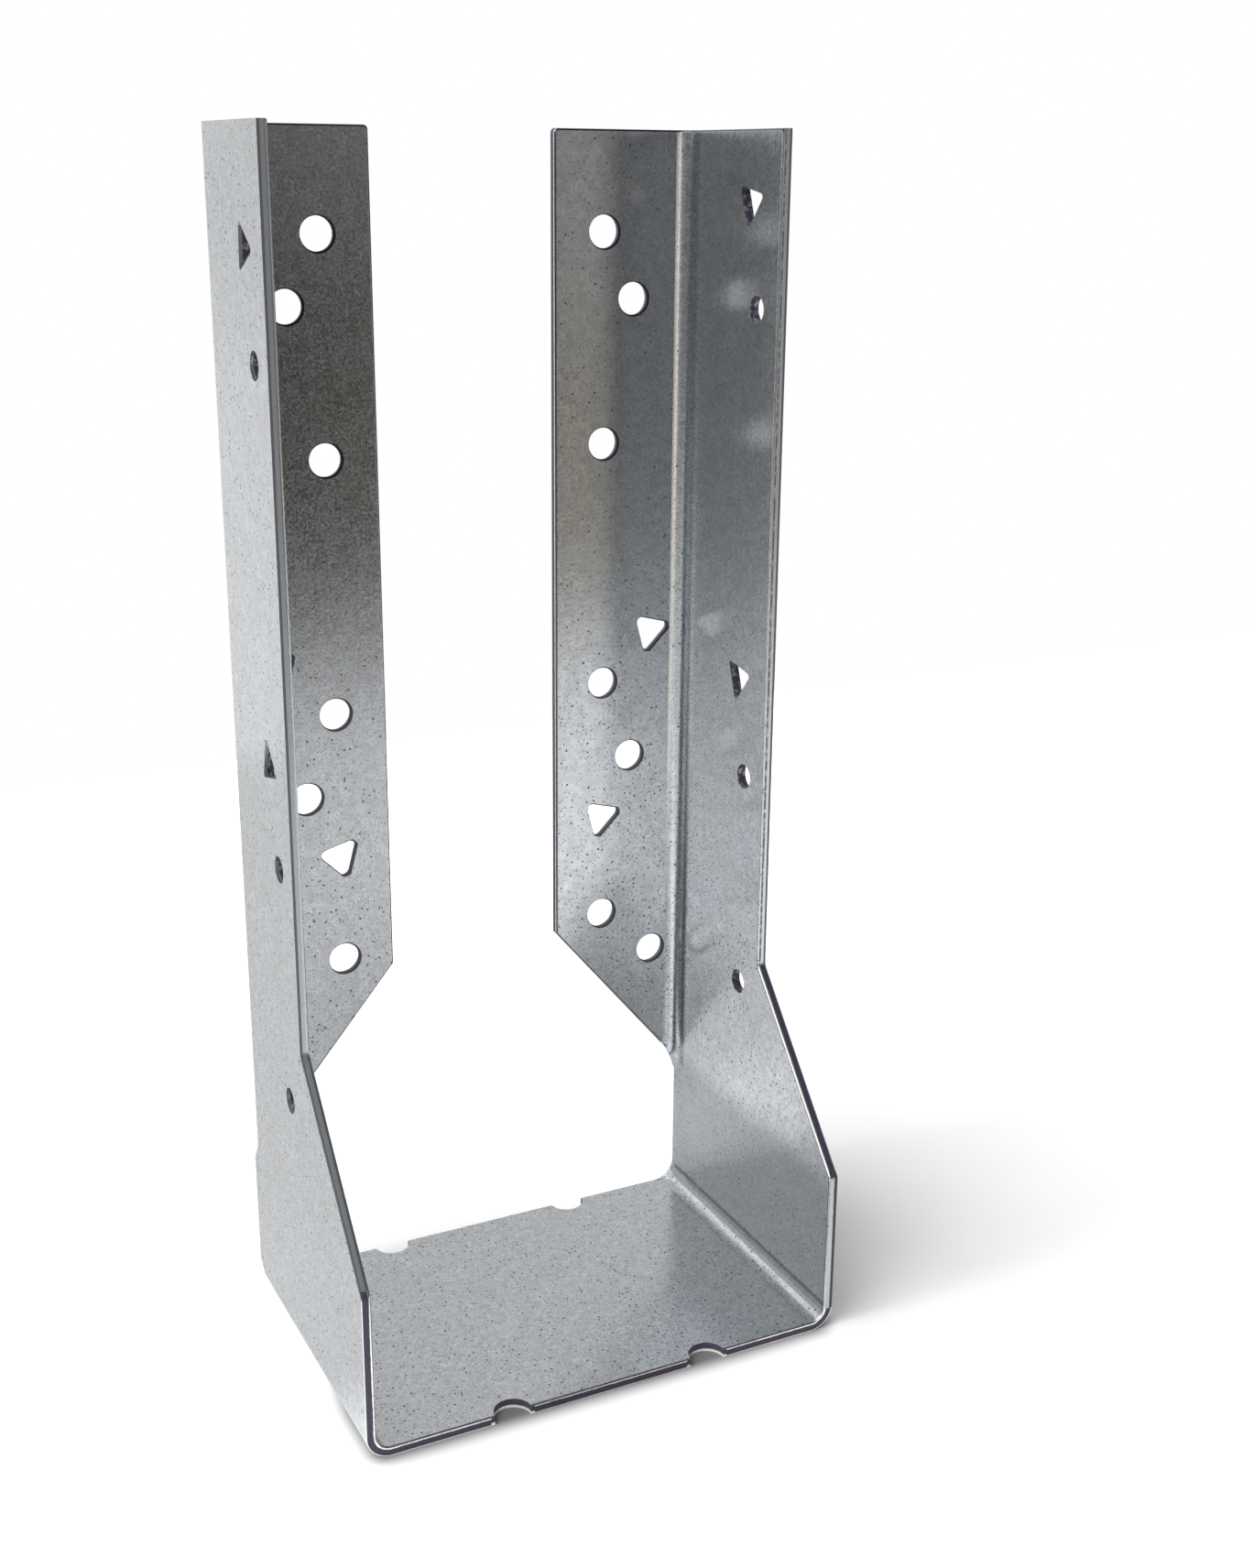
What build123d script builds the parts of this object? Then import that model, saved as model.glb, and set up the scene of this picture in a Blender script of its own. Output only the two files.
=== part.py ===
"""Face-mount joist hanger with concealed flanges, folded from one galvanized steel sheet.

Millimetres. X runs across the joist, Y runs from the seat's front edge to the header, Z is up.
The origin is the middle of the hanger's footprint, on the underside of the seat.
"""

import os
from math import atan2, degrees, pi, radians, sin

from build123d import *

os.makedirs("parts", exist_ok=True)

# Sheet
gauge = 1.8
bend_inner = 2.8

# Rounding of the sheared outline on the side the punch came from, which is the inside of the hanger
shear_rounding = 0.4

# Folded size
joist_width = 90.5
height = 219.1
seat_depth = 63.5

# Side plates
upper_depth = 35.0
knee_height = 64.4
toe_height = 32.1
knee_radius = 2.0
toe_radius = 1.5
rear_setback = 1.5

# Rear end of each seat bend, which opens to a wider radius where the crease stops short of the edge
crease_setback = 1.9
open_bend_inner = 4.9

# Header flanges
flange_width = 29.5
flange_corner_height = 63.8
flange_corner_radius = 0.8
fold_end_height = 34.0

# Run-out below each header fold, where the sheet opens out flat into the side plate's rear edge
runout_drop = 6.0
runout_middle_turn = 38.0
runout_middle_share = 0.3

# Face nail holes, set in from the flange's free edge, straight at first and wider where the punch broke out
face_hole_diameter = 6.0
face_hole_land = 0.6
face_hole_flare = 0.4
face_inner_column = 9.95
face_middle_column = 16.05
face_outer_column = 21.35
face_inner_drops = (17.9, 56.7)
face_middle_drop = 30.0
face_inner_rises = (51.7, 2.9)
face_middle_rise = 36.0
face_foot_drop = 6.8

# Triangular face nail holes
face_triangle_inner_rise = 23.6
face_triangle_outer_rise = 61.1
face_triangle_outer_column = 20.6
face_triangle_turn = 15.0

# Joist nail holes, set in from the header, staggered so that the nails from the two sides miss
joist_hole_diameter = 4.8
joist_hole_inset = 27.7
joist_hole_drop = {"right": 30.6, "left": 37.2}
joist_hole_rises = {"right": (101.0, 58.3), "left": (96.6, 52.5)}

# Triangular joist nail holes
joist_triangle_inset = 24.6
joist_triangle_drop = {"right": 12.6, "left": 19.1}
joist_triangle_rise = {"right": 119.7, "left": 114.8}
joist_triangle_top_turn = {"right": 40.0, "left": 64.0}
joist_triangle_low_turn = {"right": 40.0, "left": 77.0}

# Every triangular hole
triangle_side = 8.3
face_triangle_corner_radius = 1.0
joist_triangle_corner_radius = 0.6

# Half-round notches in the seat's front and rear edges
notch_radius = 3.5
notch_spacing = 39.4

# Places that follow from the sizes
half_inside = joist_width / 2
half_outside = half_inside + gauge
half_middle = half_inside + gauge / 2
bend_middle = bend_inner + gauge / 2
bend_outer = bend_inner + gauge
header_y = seat_depth / 2
front_y = header_y - seat_depth
rear_y = header_y - rear_setback
crease_y = rear_y - crease_setback
knee_y = header_y - upper_depth
fold_y = header_y - bend_outer
fold_x = half_inside - bend_inner
flange_x = half_outside - flange_width
runout_height = fold_end_height - runout_drop
runout_middle_height = fold_end_height - runout_drop / 2
fold_length = bend_middle * pi / 2
rear_strip = rear_y - fold_y
runout_middle_length = rear_strip + runout_middle_share * (fold_length - rear_strip)
breakout_depth = gauge - face_hole_land
breakout_taper = -degrees(atan2(face_hole_flare, breakout_depth))

# One place on each face of the inside: seat, bend, its rear strip, side plate, header fold and flange
bend_depth = bend_inner * (1 - sin(pi / 4))
strip_bend_depth = (bend_inner + open_bend_inner) / 2 * (1 - sin(pi / 4))
inside_places = (
    (half_inside / 2, 0, gauge),
    (half_inside - bend_depth, 0, gauge + bend_depth),
    (half_inside - strip_bend_depth, (crease_y + rear_y) / 2, gauge + strip_bend_depth),
    (half_inside, 0, knee_height),
    (half_inside, (crease_y + rear_y) / 2, runout_height - open_bend_inner),
    (half_inside - bend_depth, header_y - gauge - bend_depth, height / 2),
    ((flange_x + fold_x) / 2, header_y - gauge, height / 2),
)


def channel_section(inner_radius):
    """Section of the right half of the seat and the right side plate, joined by one bend."""
    bend_radius = inner_radius + gauge / 2
    with BuildLine() as middle:
        FilletPolyline((0, gauge / 2), (half_middle, gauge / 2), (half_middle, height), radius=bend_radius)
    trace(middle.edges(), line_width=gauge)


def folded_strip(length, turn):
    """A strip of sheet that leaves the right side plate and curls inwards by a turn over its length."""
    middle_radius = length / radians(turn)
    centre = (half_middle - middle_radius, fold_y)
    with BuildLine() as outline:
        inside = CenterArc(centre, middle_radius - gauge / 2, 0, turn)
        outside = CenterArc(centre, middle_radius + gauge / 2, 0, turn)
        Line(inside @ 0, outside @ 0)
        Line(inside @ 1, outside @ 1)
    make_face(outline.edges())


def round_holes(diameter, places):
    """Round nail holes at some places of a flat sheet."""
    with Locations(*places):
        Circle(diameter / 2)


def triangle_holes(turn, corner_radius, places):
    """Triangular nail holes with soft corners, one corner pointing along the turn."""
    with BuildSketch(mode=Mode.PRIVATE) as triangle:
        RegularPolygon(triangle_side / 3**0.5, 3, rotation=turn)
        fillet(triangle.vertices(), corner_radius)
    with Locations(*places):
        add(triangle.sketch)


def face_holes():
    """Round and triangular nail holes of the right header flange."""
    inner_column = flange_x + face_inner_column
    middle_column = flange_x + face_middle_column
    round_holes(face_hole_diameter, [(inner_column, height - drop) for drop in face_inner_drops])
    round_holes(face_hole_diameter, [(inner_column, flange_corner_height + rise) for rise in face_inner_rises])
    round_holes(
        face_hole_diameter,
        [
            (middle_column, height - face_middle_drop),
            (middle_column, flange_corner_height + face_middle_rise),
            (flange_x + face_outer_column, flange_corner_height - face_foot_drop),
        ],
    )
    triangle_holes(
        face_triangle_turn,
        face_triangle_corner_radius,
        [
            (inner_column, flange_corner_height + face_triangle_inner_rise),
            (flange_x + face_triangle_outer_column, flange_corner_height + face_triangle_outer_rise),
        ],
    )


def is_sheared(edge):
    """Whether an edge of the inside faces is a sheared one, clear of the middle and of the run-out."""
    place = edge.position_at(0.5)
    at_middle = place.X < gauge
    at_runout = place.Y > fold_y - gauge and runout_height - gauge < place.Z < fold_end_height + gauge
    return not at_middle and not at_runout


with BuildPart() as joist_hanger:
    # Right half of the seat, and the right side plate, in one bend that opens at its rear end
    with BuildSketch(Plane.XZ.offset(-crease_y)):
        channel_section(bend_inner)
    extrude(amount=crease_y - front_y)
    for y, inner_radius in ((crease_y, bend_inner), (rear_y, open_bend_inner)):
        with BuildSketch(Plane.XZ.offset(-y)):
            channel_section(inner_radius)
    loft()

    # Outline of the side plate: narrow above the knee, full depth below the toe
    with BuildSketch(Plane.YZ) as side_outline:
        with BuildLine():
            Polyline(
                (rear_y, 0),
                (front_y, 0),
                (front_y, toe_height),
                (knee_y, knee_height),
                (knee_y, height),
                (fold_y, height),
                (fold_y, runout_height),
                (rear_y, runout_height),
                close=True,
            )
        make_face()
        fillet(side_outline.vertices().sort_by_distance((front_y, toe_height))[0], toe_radius)
        fillet(side_outline.vertices().sort_by_distance((knee_y, knee_height))[0], knee_radius)
    extrude(amount=half_outside, mode=Mode.INTERSECT)

    # Header flange, with the slanting lower edge
    with BuildSketch(Plane.XZ.offset(-header_y)) as flange_outline:
        with BuildLine():
            Polyline(
                (fold_x, height),
                (flange_x, height),
                (flange_x, flange_corner_height),
                (fold_x, fold_end_height),
                close=True,
            )
        make_face()
        fillet(flange_outline.vertices().group_by(Axis.X)[0], flange_corner_radius)
    extrude(amount=gauge)

    # Header fold
    with BuildSketch(Plane.XY.offset(fold_end_height)):
        folded_strip(fold_length, 90)
    extrude(amount=height - fold_end_height)

    # Rounding of the sheared outline, all along the inside faces
    inside = [joist_hanger.faces().sort_by_distance(place)[0] for place in inside_places]
    borders = [edge for face in inside for edge in face.edges()]
    outline = [edge for edge in borders if sum(edge.is_same(other) for other in borders) == 1]
    fillet([edge for edge in outline if is_sheared(edge)], shear_rounding)

    # Run-out below the header fold
    with BuildSketch(Plane.XY.offset(fold_end_height)):
        folded_strip(fold_length, 90)
    with BuildSketch(Plane.XY.offset(runout_middle_height)):
        folded_strip(runout_middle_length, runout_middle_turn)
    with BuildSketch(Plane.XY.offset(runout_height)):
        with Locations((half_inside, fold_y)):
            Rectangle(gauge, rear_strip, align=(Align.MIN, Align.MIN))
    loft()

    # Face nail holes, punched straight through and then widened at the back
    for depth, taper in ((gauge, 0), (breakout_depth, breakout_taper)):
        with BuildSketch(Plane.XZ.offset(depth - header_y)):
            face_holes()
        extrude(amount=-depth, taper=taper, mode=Mode.SUBTRACT)

    # Notches in the seat's edges
    with BuildSketch():
        round_holes(2 * notch_radius, [(notch_spacing / 2, front_y), (notch_spacing / 2, rear_y)])
    extrude(amount=gauge, mode=Mode.SUBTRACT)

    # The left half mirrors the right
    mirror(about=Plane.YZ)

    # Joist nail holes, which differ from side to side
    hole_y = header_y - joist_hole_inset
    triangle_y = header_y - joist_triangle_inset
    for side, face_x in (("right", half_inside), ("left", -half_outside)):
        with BuildSketch(Plane.YZ.offset(face_x)):
            round_holes(joist_hole_diameter, [(hole_y, height - joist_hole_drop[side])])
            round_holes(joist_hole_diameter, [(hole_y, rise) for rise in joist_hole_rises[side]])
            triangle_holes(
                joist_triangle_top_turn[side],
                joist_triangle_corner_radius,
                [(triangle_y, height - joist_triangle_drop[side])],
            )
            triangle_holes(
                joist_triangle_low_turn[side],
                joist_triangle_corner_radius,
                [(triangle_y, joist_triangle_rise[side])],
            )
        extrude(amount=gauge, mode=Mode.SUBTRACT)

joist_hanger.part.label = "joist_hanger"
export_step(joist_hanger.part, "parts/joist_hanger.step")
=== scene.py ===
"""Galvanized joist hanger, standing on its seat on a white table.

A pair of numbers that bounds a soft change says where it begins and where it is complete.
"""

import math

import bpy
from mathutils import Matrix, Vector

# Camera, in metres and degrees, at the photograph's viewing angle
EYE = Vector((-0.13545, -0.30132, 0.21259))
TURN_RIGHT = 26.98
LOOK_DOWN = 17.74
ROLL = 0.51
FOCAL_PIXELS = 2107.0
PHOTO_LONG_SIDE = 1712
SENSOR = 36.0
CLIP_START = 0.01

# White table, in metres, as the camera sees it: its edges, its tone, and its glow all over and further out
TABLE_FRONT = -0.48
TABLE_BACK = 0.38
TABLE_WIDTH = 1.6
SEEN_TONE = 0.55
SEEN_GLOW = 0.15
FAR_GLOW = 0.55
FAR = (0.14, 0.28)

# Painted contact shadow on the table along the seat's front edge
CONTACT_X = 0.043
CONTACT_Y = -0.0295
CONTACT_REACH = (0.0065, 0.001)
CONTACT_FRONT = (0.0, -0.02)
CONTACT_SHADE = 0.75

# The table as the metal mirrors it: its tone behind and in front, with a shade on either side
MIRRORED_TONE = 0.41
FRONT_MIRRORED_TONE = 0.85
FRONT = (0.0, -0.05)
LEFT_SHADE = 0.35
LEFT = (-0.05, -0.13)
RIGHT_SHADE = 0.28
RIGHT = (0.05, 0.11)

# A quiet strip of it in front, which slants to the right, and the darker far end of the strip and of the rest
QUIET_NEAR_TONE = 0.336
QUIET_FAR_TONE = 0.42
QUIET_AWAY = (-0.08, -0.16)
QUIET_LEFT = (-0.03, -0.01)
QUIET_SLANT = 0.39
QUIET_RIGHT = (0.027, -0.003)
DISTANT = (-0.30, -0.50)
DISTANT_SHADE = 0.40
DISTANT_QUIET_SHADE = 0.05

# A glow behind the seat, which only the metal mirrors
BEHIND_GLOW = 0.34
BEHIND_NEAR = (0.02, 0.05)
BEHIND_FAR = (0.09, 0.06)
BEHIND_WIDTH = (0.06, 0.03)

# Studio round the table, which only the metal mirrors. Its places are parts of a direction, from -1 to 1
WHITE = (1.0, 1.0, 1.0, 1.0)
WARM = (1.0, 0.88, 0.70, 1.0)
FRONT_TONE = 0.41
BACK_TONE = 0.75
BACK = (-0.3, 0.3)

# Zones of the front that add to its tone: a light right, a dark left horizon and a dark far left
FRONT_CHANGES = (
    (0.10, {"X": (0.34, 0.42)}),
    (-0.16, {"X": (0.0, -0.3), "Z": (-0.26, -0.10)}),
    (-0.12, {"X": (-0.55, -0.75)}),
)

# Zones of the front with a tone of their own: a bright panel high on the left and a dark ceiling on the right
FRONT_PANELS = (
    (2.6, {"X": (-0.05, -0.35), "Z": (0.15, 0.45)}),
    (0.10, {"X": (-0.05, 0.1), "Z": (0.02, 0.15)}),
)

# Zones of the back that add to its tone: a light lower half, a light base, a bright top left and a light left
BACK_CHANGES = (
    (0.13, {"Z": (0.45, 0.05)}),
    (0.22, {"Z": (-0.02, -0.12)}),
    (0.42, {"X": (-0.1, -0.4), "Z": (0.2, 0.45)}),
    (0.24, {"X": (-0.45, -0.95)}),
)
RIGHT_END = (0.5, 0.8)
RIGHT_END_SHADE = 0.7

# A dark gap in the back, as a direction and its spread in degrees
GAP_SIDE = (-0.50, 0.85, -0.14)
GAP_SPREAD = (15.0, 6.0)
GAP_SHADE = 0.45

# Upright strips that cross the room from front to back, turned by some degrees: a dark one and a light one
DARK_TURN = 15.0
DARK_WIDTH = (0.175, 0.125)
DARK_TOP = (0.10, -0.04)
DARK_SHADE = 0.395
LIGHT_TURN = -5.0
LIGHT_WIDTH = (0.12, 0.06)
LIGHT_Z = -0.1
LIGHT_HEIGHT = (0.35, 0.15)
LIGHT_TONE = 1.5

# Warm light from the front, as a direction and its spread in degrees
WARM_SIDE = (0.29, -0.955, -0.08)
WARM_SPREAD = (46.0, 16.0)
WARM_TOP = (-0.02, -0.12)

# Two soft lights from the left: turn, height above the table and spread in degrees, and power
LEFT_LIGHTS = ((-9.0, 50.0, 60.0, 3.95), (0.0, 20.0, 15.0, 1.9))

# The folded sheet, in millimetres: its thickness, its bends' inner radius and where the bends begin
MM_PER_METRE = 1000.0
GAUGE = 1.8
BEND_INNER = 2.8
FOLD_X = 42.45
FOLD_Y = 27.15
FOLD_END_Z = 31.0
BEND_Z = 4.6
BEND_SOFTNESS = 0.2

# Which points are on the inside, by their depth, and which on a sheared wall, by their facing
INSIDE = (0.06, 0.02)
CUT = (0.55, 0.25)

# Patterns: scale per millimetre, detail and roughness
GRAIN = (1.8, 2.0, 0.6)
MOTTLE = (0.65, 2.0, 0.6)
BLOTCH = (0.45, 3.0, 0.6)
CLOUD = (0.10, 3.0, 0.6)
WAVE = (0.035, 1.0, 0.5)
CROWD = (0.09, 2.0, 0.5)
RAGGED = (0.9, 3.0, 0.6)
SLOW = (0.06, 1.0, 0.5)

# Zinc, from dark to light grains, and its stains: where in the pattern they are, how strong and what colour
DARK_ZINC = (0.48, 0.505, 0.53, 1.0)
LIGHT_ZINC = (0.70, 0.72, 0.74, 1.0)
GRAIN_SPAN = (0.3, 0.7)
MOTTLE_STAIN = ((0.42, 0.62), 0.38, (0.38, 0.38, 0.37, 1.0))
BLOTCH_STAIN = ((0.35, 0.70), 0.45, (0.50, 0.52, 0.545, 1.0))
CLOUD_STAIN = ((0.40, 0.70), 0.30, (0.52, 0.53, 0.535, 1.0))

# Pits: cells per millimetre, and how far from its middle a pit is dark, in cells
COARSE_PITS = (0.85, (0.24, 0.10))
FINE_PITS = (1.9, (0.34, 0.14))
FINE_PIT_DARKNESS = 0.7
PIT_CHANCE = (0.0, 0.2)
PIT_DARKNESS = 0.95
PIT_COLOUR = (0.06, 0.065, 0.08, 1.0)

# How rare the pits are, and how much less so in crowds and low down
PIT_RARITY = 0.60
CROWD_SPAN = (0.42, 0.62)
LOW_DOWN = (130.0, 50.0)
COARSE_CROWD = 0.24
COARSE_LOW = 0.20
FINE_CROWD = 0.20
FINE_LOW = 0.18

# Roughness of the zinc
SMOOTH = 0.10
GRAIN_ROUGHNESS = 0.14
BLOTCH_ROUGHNESS = 0.08
PIT_ROUGHNESS = 0.30
BENT_ROUGHNESS = 0.05

# Relief, in millimetres
GRAIN_HEIGHT = 0.004
BENT_GRAIN_HEIGHT = 0.014
BLOTCH_HEIGHT = 0.018
WAVE_HEIGHT = 0.10
PIT_DEPTH = 0.003
TORN_HEIGHT = 0.03

# Painted shade in the right side plate's foot
PLATE_X = 44.6
FOOT_TOP = (36.0, 28.0)
PAINTED_FOOT_SHADE = 0.60
PAINTED_FOOT_SHADE_COLOUR = (0.20, 0.22, 0.24, 1.0)

# A bright painted highlight where each header fold leaves its flange, and painted shade towards the side plate
FOLD_SOFTNESS = 0.1
FOLD_RISE = (60.0, 120.0)
FOLD_SHADE_X = (42.9, 44.5)
PAINTED_FOLD_SHADE = 0.22
FOLD_HIGHLIGHT_X = (43.3, 42.9)
PAINTED_FOLD_HIGHLIGHT = 0.7
PAINTED_FOLD_HIGHLIGHT_COLOUR = (1.0, 1.0, 0.98, 1.0)

# Painted shade in the creases on the side plates, along the seat's bends and low down along the header folds
SEAT_CREASE_Z = 5.0
SEAT_CREASE_WIDTH = (0.7, 0.25)
SEAT_CREASE_END_Y = 29.0
FOLD_CREASE_Y = 26.6
FOLD_CREASE_WIDTH = (1.3, 0.5)
FOLD_CREASE_TOP = (120.0, 60.0)
FOLD_CREASE_END_Z = 30.0
FOLD_CREASE_SHADE = 0.6
PAINTED_CREASE_SHADE = 0.75
CREASE_BLOTCH = (0.2, 0.5)
PAINTED_SHADE_COLOUR = (0.10, 0.11, 0.13, 1.0)

# Nail holes of the flanges, in millimetres from the middle and from the table
FACE_HOLES = (
    (27.5, 201.2),
    (27.5, 162.4),
    (27.5, 115.5),
    (27.5, 66.7),
    (33.6, 189.1),
    (33.6, 99.8),
    (38.9, 57.0),
)
FACE_TRIANGLES = ((27.5, 87.4), (38.15, 124.9))
HOLE_RADIUS = 3.0
TRIANGLE_INSIDE = 2.4
TRIANGLE_OUTSIDE = 3.8
TRIANGLE_TURNS = (75.0, 195.0, 315.0)

# Painted shade round their rims, which lies a little to the right and low
RIM_SHIFT_X = 0.22
RIM_SHIFT_Z = 0.10
RIM_NOWHERE = 9.0
RIM_WIDTH = (0.34, 0.18)
FLANGE_Y = 29.0
PAINTED_RIM_SHADE = 0.92
PAINTED_RIM_SHADE_COLOUR = (0.03, 0.03, 0.045, 1.0)

# Rounded rims of the flanges and of the tops: how much a point is turned, how deep it lies and where it is
TURNED = (0.998, 0.97)
ROUNDED_DEPTH = (0.26, 0.22)
FLANGE_RIM_Y = 29.5
FLANGE_RIM_X = 42.0
TOP_RIM_Z = 218.5
ROUNDED_DARKNESS = 0.85
ROUNDED_COLOUR = (0.045, 0.045, 0.07, 1.0)

# The nail holes lie behind, below and outside the first three, and above a slant like that of the flanges.
# Those of the side plates lie in front of the last
HOLES_Y = -1.0
HOLES_TOP_Z = 217.0
HOLES_X = 21.0
HOLES_SLANT = 1.197
HOLES_SLANT_Z = 88.0
PLATE_HOLES_Y = 25.0

# The notches lie below and near the first three. The rest bound the outline's upper edges and its right foot
NOTCH_Z = 2.5
NOTCH_X = 19.7
NOTCH_REACH = 4.2
KNEE_Z = 64.4
TOE_Z = 33.0
FOOT_Y = -30.0
FOOT_BASE_Z = 4.0

# Depth at which a sheared wall turns from burnished to torn, and the burr at its far side
TORN_START = 0.26
TORN_LATER_IN_FOOT = 0.36
TORN_SOONER_IN_HOLES = 0.50
TORN_SLOW = 0.10
TORN_RAGGED = 0.16
TORN_SPAN = (0.0, 0.10)
BURR = (0.90, 0.96)

# Light flecks in the side plates' holes, and the light far side of those on the left
FLECK = 0.55
FLECK_SPAN = (0.50, 0.62)
FAR_LIGHT = 0.9
FAR_RAGGED = 0.35
FAR_SPAN = (0.45, 0.60)

# Dark lines along the upper edges: a rim on both, a ragged streak on the right and a fainter one on the left
UPPER_DARKNESS = 0.85
UPPER_RIM = (0.70, 0.78)
LEFT_STREAK = 0.30
LEFT_STREAK_START = (0.30, 0.40)
STREAK_START = (0.16, 0.24)
STREAK_END = (0.48, 0.38)
STREAK_SPAN = (0.30, 0.55)

# Colours of a sheared wall: burnished, along the upper edges, in the side plates' holes, at the foot, and torn
BURNISHED = (0.80, 0.78, 0.74, 1.0)
UPPER_COLOUR = (0.54, 0.58, 0.60, 1.0)
PLATE_HOLE_COLOUR = (0.52, 0.56, 0.60, 1.0)
FOOT_EDGE_COLOUR = (0.36, 0.38, 0.37, 1.0)
TORN_COLOUR = (0.040, 0.036, 0.060, 1.0)
CUT_ROUGHNESS = 0.26
TORN_ROUGHNESS = 0.25
TORN_DULLNESS = 0.6


class Value:
    """An output of a node. One that is a number can be used in sums."""

    def __init__(self, shader, socket):
        self.shader = shader
        self.socket = socket

    def _math(self, operation, *operands):
        return self.shader.node("ShaderNodeMath", {"operation": operation}, dict(enumerate(operands)))

    def __add__(self, other):
        return self._math("ADD", self, other)

    def __radd__(self, other):
        return self._math("ADD", other, self)

    def __sub__(self, other):
        return self._math("SUBTRACT", self, other)

    def __rsub__(self, other):
        return self._math("SUBTRACT", other, self)

    def __mul__(self, other):
        return self._math("MULTIPLY", self, other)

    def __rmul__(self, other):
        return self._math("MULTIPLY", other, self)

    def __abs__(self):
        return self._math("ABSOLUTE", self)

    def root(self):
        return self._math("SQRT", self)

    def above(self, limit):
        """1 above the limit and 0 below it."""
        return self._math("GREATER_THAN", self, limit)

    def below(self, limit):
        """1 below the limit and 0 above it."""
        return self._math("LESS_THAN", self, limit)

    def at_most(self, limit):
        return self._math("MINIMUM", self, limit)

    def at_least(self, limit):
        return self._math("MAXIMUM", self, limit)

    def step(self, begin, full):
        """0 at the beginning, 1 where it is full, smooth between. Either of the two may be the higher."""
        return self.shader.node(
            "ShaderNodeMapRange",
            {"interpolation_type": "SMOOTHSTEP"},
            {"Value": self, "From Min": begin, "From Max": full},
        )

    def towards(self, target, factor):
        """The value itself where the factor is 0, and the target where it is 1."""
        return self + (target - self) * factor


class Shader:
    """The nodes of one material or of the world."""

    def __init__(self, owner):
        owner.use_nodes = True
        self.tree = owner.node_tree
        self.tree.nodes.clear()

    def node(self, kind, settings=None, inputs=None, output=0):
        """Adds a node, sets it, feeds its sockets and returns one of its outputs."""
        made = self.tree.nodes.new(kind)
        for name, value in (settings or {}).items():
            setattr(made, name, value)
        for key, value in (inputs or {}).items():
            if isinstance(value, Value):
                self.tree.links.new(value.socket, made.inputs[key])
            else:
                made.inputs[key].default_value = value
        return Value(self, made.outputs[output]) if len(made.outputs) else None

    def blend(self, factor, first, second):
        """One colour changing into another."""
        return self.node("ShaderNodeMix", {"data_type": "RGBA"}, {0: factor, 6: first, 7: second}, output=2)

    def vector(self, operation, first, second=(0.0, 0.0, 0.0), output="Vector"):
        return self.node("ShaderNodeVectorMath", {"operation": operation}, {0: first, 1: second}, output=output)

    def length(self, vector):
        return self.vector("LENGTH", vector, output="Value")

    def dot(self, first, second):
        return self.vector("DOT_PRODUCT", first, second, output="Value")

    def axes(self, vector):
        return [self.node("ShaderNodeSeparateXYZ", {}, {0: vector}, output=axis) for axis in "XYZ"]

    def noise(self, place, scale, detail, roughness):
        return self.node(
            "ShaderNodeTexNoise",
            {},
            {"Vector": place, "Scale": scale, "Detail": detail, "Roughness": roughness},
        )


class Sheet:
    """Where a point of the folded sheet lies, in millimetres, and the patterns there."""

    def __init__(self, shader):
        self.shader = shader
        metres = shader.node("ShaderNodeTexCoord", output="Object")
        normal = shader.node("ShaderNodeTexCoord", output="Normal")
        self.place = shader.vector("MULTIPLY", metres, (MM_PER_METRE, MM_PER_METRE, MM_PER_METRE))
        self.x, self.y, self.z = shader.axes(self.place)
        self.side_x = abs(self.x)

        # Depth in the sheet, 0 on the inside and 1 on the outside, from the core that the sheet is bent round.
        # Facing is 1 on the sheet's two faces and 0 on its sheared walls
        core_x = self.x.at_least(-FOLD_X).at_most(FOLD_X)
        core_y = self.y - (self.y - FOLD_Y).at_least(0.0) * self.z.above(FOLD_END_Z)
        core_z = self.z.at_least(BEND_Z)
        core = shader.node("ShaderNodeCombineXYZ", {}, {"X": core_x, "Y": core_y, "Z": core_z})
        outwards = shader.vector("SUBTRACT", self.place, core)
        self.depth = (shader.length(outwards) - BEND_INNER) * (1.0 / GAUGE)
        self.facing = abs(shader.dot(shader.vector("NORMALIZE", outwards), normal))
        self.on_inside = self.depth.step(*INSIDE)
        self.cut = self.facing.step(*CUT)
        folded = self.y.step(FOLD_Y, FOLD_Y + BEND_SOFTNESS)
        seat_bend = self.z.step(BEND_Z, BEND_Z - BEND_SOFTNESS)
        self.bent = self.side_x.step(FOLD_X, FOLD_X + BEND_SOFTNESS) * (folded + seat_bend).at_most(1.0)

        self.grain = self.pattern(GRAIN)
        self.blotch = self.pattern(BLOTCH)
        self.ragged = self.pattern(RAGGED)

    def pattern(self, kind):
        return self.shader.noise(self.place, *kind)


def aim_camera():
    """Stands the camera where the photograph was taken from."""
    turn = math.radians(TURN_RIGHT)
    down = math.radians(LOOK_DOWN)
    roll = math.radians(ROLL)
    ahead = Vector((math.sin(turn) * math.cos(down), math.cos(turn) * math.cos(down), -math.sin(down)))
    level = Vector((math.cos(turn), -math.sin(turn), 0.0))
    upright = level.cross(ahead)
    right = math.cos(roll) * level + math.sin(roll) * upright
    up = math.cos(roll) * upright - math.sin(roll) * level
    camera = bpy.data.objects.new("camera", bpy.data.cameras.new("camera"))
    bpy.context.collection.objects.link(camera)
    axes = Matrix((right, up, -ahead)).transposed().to_4x4()
    camera.matrix_world = Matrix.Translation(EYE) @ axes
    camera.data.sensor_width = SENSOR
    camera.data.lens = FOCAL_PIXELS / PHOTO_LONG_SIDE * SENSOR
    camera.data.clip_start = CLIP_START
    bpy.context.scene.camera = camera


def pits_of_size(sheet, size, rarity):
    """Small dark pits of one size, one in some of the cells of a pattern."""
    scale, reach = size
    cells = {"Vector": sheet.place, "Scale": scale, "Randomness": 1.0}
    distance = sheet.shader.node("ShaderNodeTexVoronoi", {}, cells, output="Distance")
    chance = sheet.shader.axes(sheet.shader.node("ShaderNodeTexVoronoi", {}, cells, output="Color"))[0]
    return (chance - rarity).step(*PIT_CHANCE) * distance.step(*reach)


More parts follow.
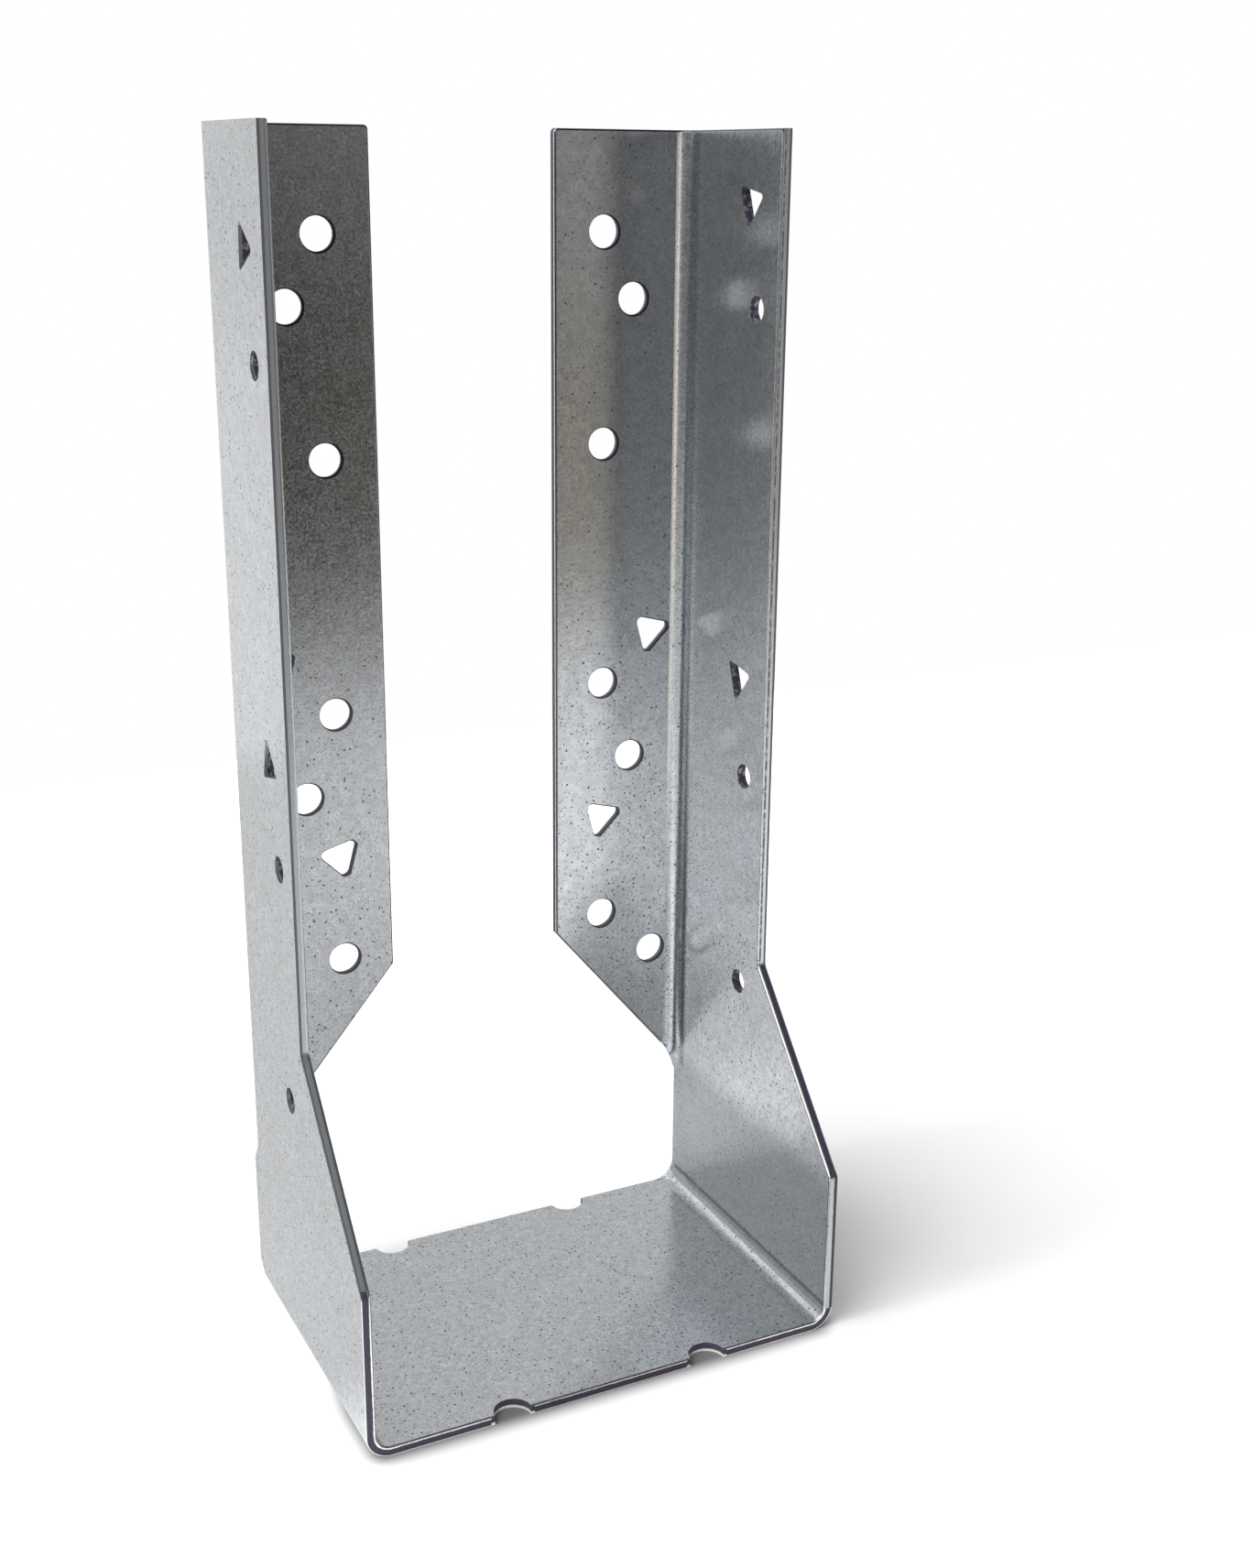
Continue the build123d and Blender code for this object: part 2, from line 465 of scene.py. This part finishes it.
def pits(sheet):
    """Coarse and fine pits, thicker in crowds and low down."""
    crowd = sheet.pattern(CROWD).step(*CROWD_SPAN)
    low = sheet.z.step(*LOW_DOWN)
    coarse = pits_of_size(sheet, COARSE_PITS, PIT_RARITY - COARSE_CROWD * crowd * low - COARSE_LOW * low)
    fine = pits_of_size(sheet, FINE_PITS, PIT_RARITY - FINE_CROWD * crowd - FINE_LOW * low)
    return coarse.at_least(FINE_PIT_DARKNESS * fine)


def painted_crease_shade(sheet):
    """Painted shade in the creases where the bends meet the side plates."""
    near_seat = abs(sheet.z - SEAT_CREASE_Z).step(*SEAT_CREASE_WIDTH) * sheet.y.below(SEAT_CREASE_END_Y)
    near_fold = abs(sheet.y - FOLD_CREASE_Y).step(*FOLD_CREASE_WIDTH)
    near_fold = near_fold * sheet.z.step(*FOLD_CREASE_TOP) * sheet.z.above(FOLD_CREASE_END_Z)
    crease = near_seat.at_least(FOLD_CREASE_SHADE * near_fold) * sheet.side_x.above(PLATE_X) * sheet.on_inside
    return crease * PAINTED_CREASE_SHADE * sheet.blotch.step(*CREASE_BLOTCH)


def beyond_circle(radius, across, along):
    """How far a point lies beyond a circle."""
    return (across * across + along * along).root() - radius


def beyond_triangle(across, along):
    """How far a point lies beyond a triangle with rounded corners."""
    beyond = beyond_circle(TRIANGLE_OUTSIDE, across, along)
    for turn in TRIANGLE_TURNS:
        towards_side = across * math.cos(math.radians(turn)) + along * math.sin(math.radians(turn))
        beyond = beyond.at_least(towards_side - TRIANGLE_INSIDE)
    return beyond


def painted_hole_rim_shade(sheet):
    """Painted shade round the rims of the flanges' nail holes, on the inside."""
    rim_distance = RIM_NOWHERE
    across = abs(sheet.x - RIM_SHIFT_X)
    along = sheet.z + RIM_SHIFT_Z
    for hole_x, hole_z in FACE_HOLES:
        rim_distance = beyond_circle(HOLE_RADIUS, across - hole_x, along - hole_z).at_most(rim_distance)
    for hole_x, hole_z in FACE_TRIANGLES:
        rim_distance = beyond_triangle(across - hole_x, along - hole_z).at_most(rim_distance)
    return rim_distance.step(*RIM_WIDTH) * sheet.y.above(FLANGE_Y) * sheet.on_inside


def rounded_rims(sheet):
    """Rounded rims of the flanges and of the tops, all but the line that still faces inwards."""
    on_flange = sheet.y.above(FLANGE_RIM_Y) * sheet.side_x.below(FLANGE_RIM_X)
    rounding = sheet.facing.step(*TURNED) * sheet.depth.step(*ROUNDED_DEPTH)
    return rounding * on_flange.at_least(sheet.z.above(TOP_RIM_Z))


def zinc_colour(sheet, pit):
    """Colour of the two faces of the sheet, with painted shade and a painted highlight."""
    blend = sheet.shader.blend
    colour = blend(sheet.grain.step(*GRAIN_SPAN), DARK_ZINC, LIGHT_ZINC)
    patterns = (sheet.pattern(MOTTLE), sheet.blotch, sheet.pattern(CLOUD))
    for pattern, (span, strength, stain) in zip(patterns, (MOTTLE_STAIN, BLOTCH_STAIN, CLOUD_STAIN)):
        colour = blend(pattern.step(*span) * strength, colour, stain)
    colour = blend(pit * PIT_DARKNESS, colour, PIT_COLOUR)

    # Painted shade in the right side plate's foot
    foot = sheet.on_inside * sheet.x.above(PLATE_X) * sheet.z.step(*FOOT_TOP)
    colour = blend(foot * PAINTED_FOOT_SHADE, colour, PAINTED_FOOT_SHADE_COLOUR)

    # Painted shade and a painted highlight in the header folds
    in_fold = sheet.side_x.step(FOLD_X, FOLD_X + FOLD_SOFTNESS) * sheet.y.step(FOLD_Y, FOLD_Y + FOLD_SOFTNESS)
    in_fold = in_fold * sheet.z.step(*FOLD_RISE) * sheet.on_inside
    colour = blend(in_fold * sheet.side_x.step(*FOLD_SHADE_X) * PAINTED_FOLD_SHADE, colour, PAINTED_SHADE_COLOUR)
    colour = blend(in_fold * sheet.side_x.step(*FOLD_HIGHLIGHT_X) * PAINTED_FOLD_HIGHLIGHT, colour, PAINTED_FOLD_HIGHLIGHT_COLOUR)

    # Painted shade in the creases where the bends meet the side plates
    colour = blend(painted_crease_shade(sheet), colour, PAINTED_SHADE_COLOUR)
    # Painted shade round the flanges' nail holes
    colour = blend(painted_hole_rim_shade(sheet) * PAINTED_RIM_SHADE, colour, PAINTED_RIM_SHADE_COLOUR)
    return blend(rounded_rims(sheet) * ROUNDED_DARKNESS, colour, ROUNDED_COLOUR)


def sheared_wall(sheet):
    """How torn a sheared wall is and its colour: burnished, then torn and dark, then a burr line."""
    x, y, z, side_x, depth, ragged = sheet.x, sheet.y, sheet.z, sheet.side_x, sheet.depth, sheet.ragged

    # Which walls a point is on: a nail hole, a notch, or the outline in one of its stretches
    in_hole = y.above(HOLES_Y) * z.below(HOLES_TOP_Z) * side_x.above(HOLES_X)
    in_hole = in_hole * (z + HOLES_SLANT * side_x).above(HOLES_SLANT_Z)
    in_plate_hole = in_hole * y.below(PLATE_HOLES_Y)
    in_notch = z.below(NOTCH_Z) * abs(side_x - NOTCH_X).below(NOTCH_REACH)
    on_left = x.below(0.0)
    on_right = x.above(0.0)
    upper = y.below(0.0) * (z.above(KNEE_Z) + on_left * z.above(TOE_Z) * z.below(KNEE_Z))
    right_foot = on_right * y.below(FOOT_Y) * z.above(FOOT_BASE_Z) * z.below(TOE_Z)

    # A notch was punched from the other side
    from_punch = depth.towards(1.0 - depth, in_notch)
    start = TORN_START + TORN_LATER_IN_FOOT * right_foot - TORN_SOONER_IN_HOLES * in_hole
    start = start + TORN_SLOW * sheet.pattern(SLOW) - TORN_RAGGED * ragged
    burr = depth.step(*BURR) * (1.0 - in_hole.at_least(right_foot))
    torn = (from_punch - start).step(*TORN_SPAN) * (1.0 - burr)

    flecks = in_plate_hole * ragged.step(*FLECK_SPAN)
    far_side = in_plate_hole * (depth - FAR_RAGGED * ragged).step(*FAR_SPAN) * (1.0 - on_right)
    torn = torn * (1.0 - FLECK * flecks) * (1.0 - FAR_LIGHT * far_side)

    streak = depth.step(*STREAK_START) * depth.step(*STREAK_END) * ragged.step(*STREAK_SPAN) * on_right
    rim = depth.step(*UPPER_RIM) + LEFT_STREAK * depth.step(*LEFT_STREAK_START) * on_left
    torn = torn.towards(UPPER_DARKNESS * streak.at_least(rim).at_most(1.0), upper)

    blend = sheet.shader.blend
    colour = blend(upper, BURNISHED, UPPER_COLOUR)
    colour = blend(in_plate_hole, colour, PLATE_HOLE_COLOUR)
    colour = blend(right_foot, colour, FOOT_EDGE_COLOUR)
    return torn, blend(torn, colour, TORN_COLOUR)


def galvanized_steel():
    """Zinc-coated sheet with a fine matte grain and small pits, and its sheared edges."""
    material = bpy.data.materials.new("galvanized_steel")
    shader = Shader(material)
    sheet = Sheet(shader)
    pit = pits(sheet)
    torn, wall = sheared_wall(sheet)
    colour = shader.blend(sheet.cut, zinc_colour(sheet, pit), wall)
    roughness = SMOOTH + GRAIN_ROUGHNESS * sheet.grain + BLOTCH_ROUGHNESS * sheet.blotch
    roughness = roughness + PIT_ROUGHNESS * pit + BENT_ROUGHNESS * sheet.bent
    roughness = roughness.towards(CUT_ROUGHNESS + TORN_ROUGHNESS * torn, sheet.cut)
    metallic = 1.0 - TORN_DULLNESS * torn * sheet.cut

    height = (GRAIN_HEIGHT + BENT_GRAIN_HEIGHT * sheet.bent) * sheet.grain + BLOTCH_HEIGHT * sheet.blotch
    height = height + WAVE_HEIGHT * sheet.pattern(WAVE) - PIT_DEPTH * pit
    height = height + TORN_HEIGHT * sheet.ragged * sheet.cut
    relief = {"Height": height, "Strength": 1.0, "Distance": 1.0 / MM_PER_METRE}
    surface = shader.node(
        "ShaderNodeBsdfPrincipled",
        {},
        {
            "Base Color": colour,
            "Metallic": metallic,
            "Roughness": roughness,
            "Normal": shader.node("ShaderNodeBump", {}, relief),
        },
    )
    shader.node("ShaderNodeOutputMaterial", {}, {"Surface": surface})
    return material


def white_table():
    """A white table that keeps the hanger's shadow, with a painted contact shadow along the seat's front edge,
    and otherwise shows as white.
    """
    bpy.ops.mesh.primitive_plane_add(size=1.0)
    floor = bpy.context.object
    floor.name = "floor"
    depth = TABLE_BACK - TABLE_FRONT
    middle = (TABLE_BACK + TABLE_FRONT) / 2
    size = Matrix.Diagonal((TABLE_WIDTH, depth, 1.0, 1.0))
    floor.data.transform(Matrix.Translation((0.0, middle, 0.0)) @ size)
    material = bpy.data.materials.new("white_table")
    shader = Shader(material)
    place = shader.node("ShaderNodeTexCoord", output="Object")
    seen = shader.node("ShaderNodeLightPath", output="Is Camera Ray")
    far = shader.length(place).step(*FAR)
    x, y, _ = shader.axes(place)

    # Painted contact shadow along the seat's front edge
    outside_x = (abs(x) - CONTACT_X).at_least(0.0)
    outside_y = (CONTACT_Y - y).at_least(0.0)
    outside = shader.node("ShaderNodeCombineXYZ", {}, {"X": outside_x, "Y": outside_y})
    painted_contact_shadow = shader.length(outside).step(*CONTACT_REACH) * y.step(*CONTACT_FRONT)

    front = y.step(*FRONT)
    in_metal = MIRRORED_TONE + (FRONT_MIRRORED_TONE - MIRRORED_TONE) * front
    in_metal = in_metal * (1.0 - (LEFT_SHADE * x.step(*LEFT) + RIGHT_SHADE * x.step(*RIGHT)) * front)
    quiet = x.step(*QUIET_LEFT) * (x + QUIET_SLANT * y).step(*QUIET_RIGHT) * front
    quiet_tone = QUIET_NEAR_TONE + (QUIET_FAR_TONE - QUIET_NEAR_TONE) * y.step(*QUIET_AWAY)
    in_metal = in_metal.towards(quiet_tone, quiet)
    in_metal = in_metal * (1.0 - (DISTANT_SHADE + DISTANT_QUIET_SHADE * quiet) * y.step(*DISTANT))
    tone = in_metal.towards(SEEN_TONE * (1.0 - CONTACT_SHADE * painted_contact_shadow), seen)

    behind = y.step(*BEHIND_NEAR) * y.step(*BEHIND_FAR) * abs(x).step(*BEHIND_WIDTH)
    seen_glow = SEEN_GLOW * (1.0 - painted_contact_shadow) + FAR_GLOW * far
    strength = (BEHIND_GLOW * behind).towards(seen_glow, seen)

    colour = shader.node("ShaderNodeCombineColor", {}, {0: tone, 1: tone, 2: tone})
    diffuse = shader.node("ShaderNodeBsdfDiffuse", {}, {"Color": colour})
    glow = shader.node("ShaderNodeEmission", {}, {"Strength": strength})
    both = shader.node("ShaderNodeAddShader", {}, {0: diffuse, 1: glow})
    shader.node("ShaderNodeOutputMaterial", {}, {"Surface": both})
    floor.data.materials.append(material)


def surroundings():
    """White all round for the camera. In the metal, a white studio behind and a dim room in front."""
    world = bpy.data.worlds.new("studio")
    bpy.context.scene.world = world
    shader = Shader(world)
    direction = shader.node("ShaderNodeTexCoord", output="Generated")
    axes = dict(zip("XYZ", shader.axes(direction)))
    x, y, z = axes.values()

    def zone(spans):
        """1 in the zone that the spans bound along their axes, and 0 outside it."""
        mask = 1.0
        for axis, span in spans.items():
            mask = axes[axis].step(*span) * mask
        return mask

    def near(side, spread):
        """1 near a direction and 0 away from it."""
        begin, full = (math.cos(math.radians(angle)) for angle in spread)
        return shader.dot(direction, Vector(side).normalized()).step(begin, full)

    def strip(turn, width):
        """1 in an upright strip and 0 beside it."""
        turn = math.radians(turn)
        return abs(math.cos(turn) * x + math.sin(turn) * y).step(*width)

    front = FRONT_TONE - DARK_SHADE * strip(DARK_TURN, DARK_WIDTH) * z.step(*DARK_TOP)
    for change, spans in FRONT_CHANGES:
        front = front + change * zone(spans)
    for tone, spans in FRONT_PANELS:
        front = front.towards(tone, zone(spans))
    light = strip(LIGHT_TURN, LIGHT_WIDTH) * abs(z - LIGHT_Z).step(*LIGHT_HEIGHT)
    front = front.towards(LIGHT_TONE, light)

    back = BACK_TONE - GAP_SHADE * near(GAP_SIDE, GAP_SPREAD)
    for change, spans in BACK_CHANGES:
        back = back + change * zone(spans)
    back = back * (1.0 - RIGHT_END_SHADE * x.step(*RIGHT_END))

    seen = shader.node("ShaderNodeLightPath", output="Is Camera Ray")
    strength = front.towards(back, y.step(*BACK)).towards(1.0, seen)
    warm = near(WARM_SIDE, WARM_SPREAD) * z.step(*WARM_TOP)
    colour = shader.blend(warm * (1.0 - seen), WHITE, WARM)
    background = shader.node("ShaderNodeBackground", {}, {"Color": colour, "Strength": strength})
    shader.node("ShaderNodeOutputWorld", {}, {"Surface": background})


def left_lights():
    """Soft light from the left, which draws the hanger's shadow to the right."""
    for side, height, spread, power in LEFT_LIGHTS:
        data = bpy.data.lights.new("left_light", "SUN")
        data.energy = power
        data.angle = math.radians(spread)
        light = bpy.data.objects.new("left_light", data)
        light.visible_glossy = False
        bpy.context.collection.objects.link(light)
        turn = math.radians(side)
        rise = math.radians(height)
        aim = Vector((math.cos(turn) * math.cos(rise), math.sin(turn) * math.cos(rise), -math.sin(rise)))
        light.rotation_euler = aim.to_track_quat("-Z", "Y").to_euler()


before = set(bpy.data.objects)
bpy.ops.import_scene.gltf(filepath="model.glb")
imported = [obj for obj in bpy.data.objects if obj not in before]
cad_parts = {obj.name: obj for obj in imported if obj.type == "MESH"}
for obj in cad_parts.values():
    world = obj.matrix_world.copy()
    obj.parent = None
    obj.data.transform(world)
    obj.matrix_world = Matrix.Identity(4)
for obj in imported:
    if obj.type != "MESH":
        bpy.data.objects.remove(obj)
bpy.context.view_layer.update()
aim_camera()
steel = galvanized_steel()
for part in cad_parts.values():
    for slot in part.material_slots:
        slot.material = steel
white_table()
surroundings()
left_lights()
bpy.context.scene.view_settings.view_transform = "Standard"
